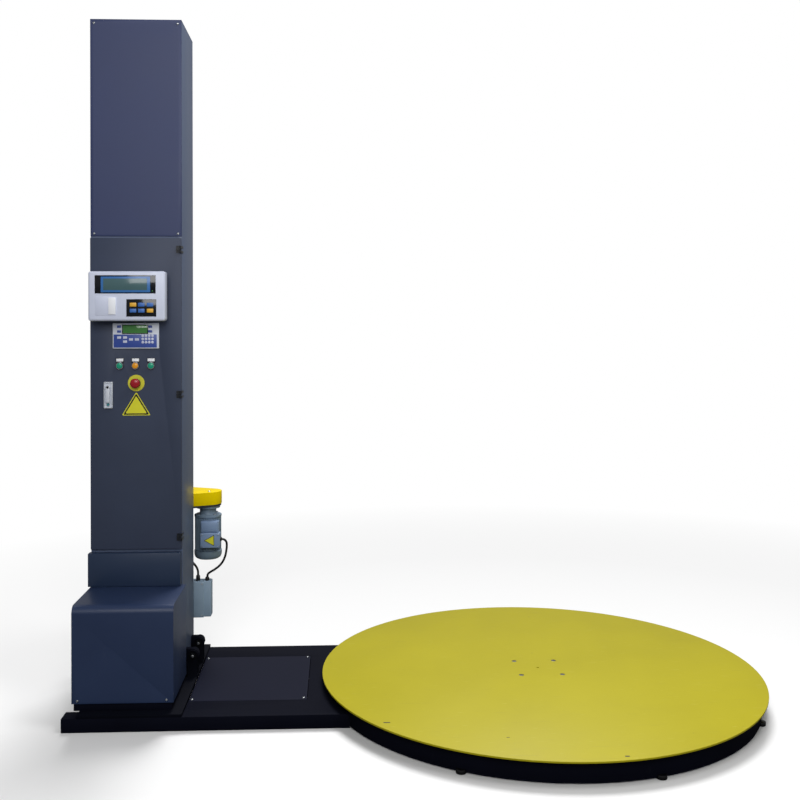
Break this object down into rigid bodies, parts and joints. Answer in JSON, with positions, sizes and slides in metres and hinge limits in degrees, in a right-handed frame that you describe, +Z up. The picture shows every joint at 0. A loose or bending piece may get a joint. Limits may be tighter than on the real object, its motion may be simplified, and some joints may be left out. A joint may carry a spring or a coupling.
{
  "type": "turntable pallet wrapper",
  "caption": "Low motor-driven turntable joined by a chain bridge to a folding mast with a control door and a lifting film carriage behind it.",
  "frame": {"origin": "on the floor under the turntable's axis, the centre of the centre foot pad", "axes": "+X from the mast to the turntable, +Y to the film carriage side, +Z up"},
  "size_m": [2.55, 1.6498, 2.545],
  "materials": {
    "blue_grey_paint": "satin powder coat",
    "dark_blue_paint": "satin powder coat",
    "yellow_paint": "satin enamel, scuffed",
    "black_paint": "satin black paint",
    "bare_steel": "machined",
    "chain_steel": "oiled roller chain",
    "motor_paint": "grey-blue cast aluminium",
    "white_plastic": "moulded",
    "grey_plastic": "moulded",
    "controls_plastic": "moulded",
    "green_plastic": "moulded",
    "amber_plastic": "moulded",
    "red_plastic": "moulded",
    "rubber_black": "rubber",
    "nylon": "cast nylon",
    "chrome_latch": "die cast, plated"
  },
  "bodies": {
    "base": {"base_frame": "black_paint", "foot_plate": "black_paint", "plinth": "black_paint", "foot_housing": "dark_blue_paint", "base_fasteners": "bare_steel", "chain_cover": "black_paint", "base_tray": "black_paint", "base_skirt": "black_paint", "foot_pads": "rubber_black", "king_pin": "bare_steel", "drive_motor": "motor_paint", "drive_chain": "chain_steel"},
    "turntable": {"turntable_plate": "yellow_paint", "turntable_hub": "bare_steel", "hub_bolts": "bare_steel", "roller_track": "bare_steel"},
    "support_roller_1": {"support_roller_1": "nylon"},
    "support_roller_2": {"support_roller_2": "nylon"},
    "support_roller_3": {"support_roller_3": "nylon"},
    "support_roller_4": {"support_roller_4": "nylon"},
    "support_roller_5": {"support_roller_5": "nylon"},
    "support_roller_6": {"support_roller_6": "nylon"},
    "drive_sprocket": {"drive_sprocket": "bare_steel"},
    "mast": {"mast_column": "blue_grey_paint", "upper_panel": "blue_grey_paint", "lower_panel": "dark_blue_paint", "panel_screws": "bare_steel", "mast_ends": "blue_grey_paint", "guide_rails": "bare_steel", "control_gear": "grey_plastic", "hinge_knuckles": "black_paint", "lift_motor": "motor_paint", "lift_chain": "chain_steel"},
    "lift_sprocket_top": {"lift_sprocket_top": "bare_steel"},
    "lift_sprocket_bottom": {"lift_sprocket_bottom": "bare_steel"},
    "door": {"door_panel": "blue_grey_paint", "door_hinges": "black_paint", "indicator": "white_plastic", "text_panel": "white_plastic", "control_fittings": "controls_plastic", "latch_body": "chrome_latch"},
    "latch_handle": {"latch_handle": "chrome_latch"},
    "green_button": {"green_button": "green_plastic"},
    "yellow_button": {"yellow_button": "amber_plastic"},
    "second_green_button": {"second_green_button": "green_plastic"},
    "estop_button": {"estop_button": "red_plastic"},
    "carriage": {"trolley": "dark_blue_paint", "carriage_frame": "dark_blue_paint", "chain_guard": "yellow_paint", "roller_chains": "chain_steel", "carriage_motor": "motor_paint", "junction_box": "grey_plastic", "motor_cable": "rubber_black", "sensor_cable": "rubber_black"},
    "motor_sprocket": {"motor_sprocket": "bare_steel"},
    "stretch_roller_1": {"stretch_roller_1": "rubber_black"},
    "stretch_roller_2": {"stretch_roller_2": "rubber_black"},
    "dancer_arm": {"dancer_arm": "bare_steel"},
    "dancer_roller": {"dancer_roller": "bare_steel"},
    "film_spindle": {"film_spindle": "bare_steel"}
  },
  "joints": [
    {"name": "turntable_spin", "type": "hinge", "parent": "base", "child": "turntable", "pos_m": [0, 0, 0.07], "axis": [0, 0, 1], "continuous": true},
    {"name": "support_roller_1_spin", "type": "hinge", "parent": "base", "child": "support_roller_1", "pos_m": [0.60622, 0.35, 0.0497], "axis": [0.866, 0.5, 0], "continuous": true},
    {"name": "support_roller_2_spin", "type": "hinge", "parent": "base", "child": "support_roller_2", "pos_m": [0, 0.7, 0.0497], "axis": [0, 1, 0], "continuous": true},
    {"name": "support_roller_3_spin", "type": "hinge", "parent": "base", "child": "support_roller_3", "pos_m": [-0.60622, 0.35, 0.0497], "axis": [-0.866, 0.5, 0], "continuous": true},
    {"name": "support_roller_4_spin", "type": "hinge", "parent": "base", "child": "support_roller_4", "pos_m": [-0.60622, -0.35, 0.0497], "axis": [-0.866, -0.5, 0], "continuous": true},
    {"name": "support_roller_5_spin", "type": "hinge", "parent": "base", "child": "support_roller_5", "pos_m": [0, -0.7, 0.0497], "axis": [0, -1, 0], "continuous": true},
    {"name": "support_roller_6_spin", "type": "hinge", "parent": "base", "child": "support_roller_6", "pos_m": [0.60622, -0.35, 0.0497], "axis": [0.866, -0.5, 0], "continuous": true},
    {"name": "drive_sprocket_spin", "type": "hinge", "parent": "base", "child": "drive_sprocket", "pos_m": [-1.51, -0.1, 0.032], "axis": [0, 0, 1], "continuous": true},
    {"name": "mast_fold", "type": "hinge", "parent": "base", "child": "mast", "pos_m": [-1.319, 0.1265, 0.137], "axis": [0, 1, 0], "range_deg": [0, 80]},
    {"name": "carriage_lift", "type": "slide", "parent": "mast", "child": "carriage", "axis": [0, 0, 1], "range_m": [0, 1.5]},
    {"name": "lift_sprocket_top_spin", "type": "hinge", "parent": "mast", "child": "lift_sprocket_top", "pos_m": [-1.52, 0.13, 2.44], "axis": [1, 0, 0], "range_deg": [0, 2020]},
    {"name": "lift_sprocket_bottom_spin", "type": "hinge", "parent": "mast", "child": "lift_sprocket_bottom", "pos_m": [-1.52, 0.13, 0.19], "axis": [1, 0, 0], "range_deg": [0, 2020]},
    {"name": "door_swing", "type": "hinge", "parent": "mast", "child": "door", "pos_m": [-1.355, -0.03, 1.14], "axis": [0, 0, 1], "range_deg": [0, 95]},
    {"name": "latch_turn", "type": "hinge", "parent": "door", "child": "latch_handle", "pos_m": [-1.622, -0.03, 1.165], "axis": [0, 1, 0], "range_deg": [0, 90]},
    {"name": "green_button_press", "type": "slide", "parent": "door", "child": "green_button", "axis": [0, 1, 0], "range_m": [0, 0.004], "stiffness_N_per_m": 600, "springref_m": -0.004},
    {"name": "yellow_button_press", "type": "slide", "parent": "door", "child": "yellow_button", "axis": [0, 1, 0], "range_m": [0, 0.004], "stiffness_N_per_m": 600, "springref_m": -0.004},
    {"name": "second_green_button_press", "type": "slide", "parent": "door", "child": "second_green_button", "axis": [0, 1, 0], "range_m": [0, 0.004], "stiffness_N_per_m": 600, "springref_m": -0.004},
    {"name": "estop_press", "type": "slide", "parent": "door", "child": "estop_button", "axis": [0, 1, 0], "range_m": [0, 0.005], "stiffness_N_per_m": 800, "springref_m": -0.004},
    {"name": "stretch_roller_1_spin", "type": "hinge", "parent": "carriage", "child": "stretch_roller_1", "pos_m": [-1.45, 0.34, 0.4], "axis": [0, 0, 1], "continuous": true},
    {"name": "stretch_roller_2_spin", "type": "hinge", "parent": "carriage", "child": "stretch_roller_2", "pos_m": [-1.48, 0.445, 0.4], "axis": [0, 0, 1], "continuous": true},
    {"name": "motor_sprocket_spin", "type": "hinge", "parent": "carriage", "child": "motor_sprocket", "pos_m": [-1.308, 0.388, 0.66], "axis": [0, 0, 1], "continuous": true},
    {"name": "dancer_swing", "type": "hinge", "parent": "carriage", "child": "dancer_arm", "pos_m": [-1.44, 0.54, 0.4], "axis": [0, 0, 1], "range_deg": [0, 30], "stiffness_Nm_per_rad": 8, "springref_deg": -11.46},
    {"name": "dancer_roller_spin", "type": "hinge", "parent": "dancer_arm", "child": "dancer_roller", "pos_m": [-1.53, 0.56, 0.4], "axis": [0, 0, 1], "continuous": true},
    {"name": "film_spindle_spin", "type": "hinge", "parent": "carriage", "child": "film_spindle", "pos_m": [-1.665, 0.43, 0.4], "axis": [0, 0, 1], "continuous": true}
  ],
  "couplings": [
    {"joint": "support_roller_1_spin", "follows": "turntable_spin", "ratio": -35},
    {"joint": "support_roller_2_spin", "follows": "turntable_spin", "ratio": -35},
    {"joint": "support_roller_3_spin", "follows": "turntable_spin", "ratio": -35},
    {"joint": "support_roller_4_spin", "follows": "turntable_spin", "ratio": -35},
    {"joint": "support_roller_5_spin", "follows": "turntable_spin", "ratio": -35},
    {"joint": "support_roller_6_spin", "follows": "turntable_spin", "ratio": -35},
    {"joint": "drive_sprocket_spin", "follows": "turntable_spin", "ratio": 4},
    {"joint": "lift_sprocket_top_spin", "follows": "carriage_lift", "rad_per_m": 23.471},
    {"joint": "lift_sprocket_bottom_spin", "follows": "carriage_lift", "rad_per_m": 23.471},
    {"joint": "stretch_roller_2_spin", "follows": "stretch_roller_1_spin", "ratio": 1.25},
    {"joint": "motor_sprocket_spin", "follows": "stretch_roller_1_spin", "ratio": 2}
  ]
}
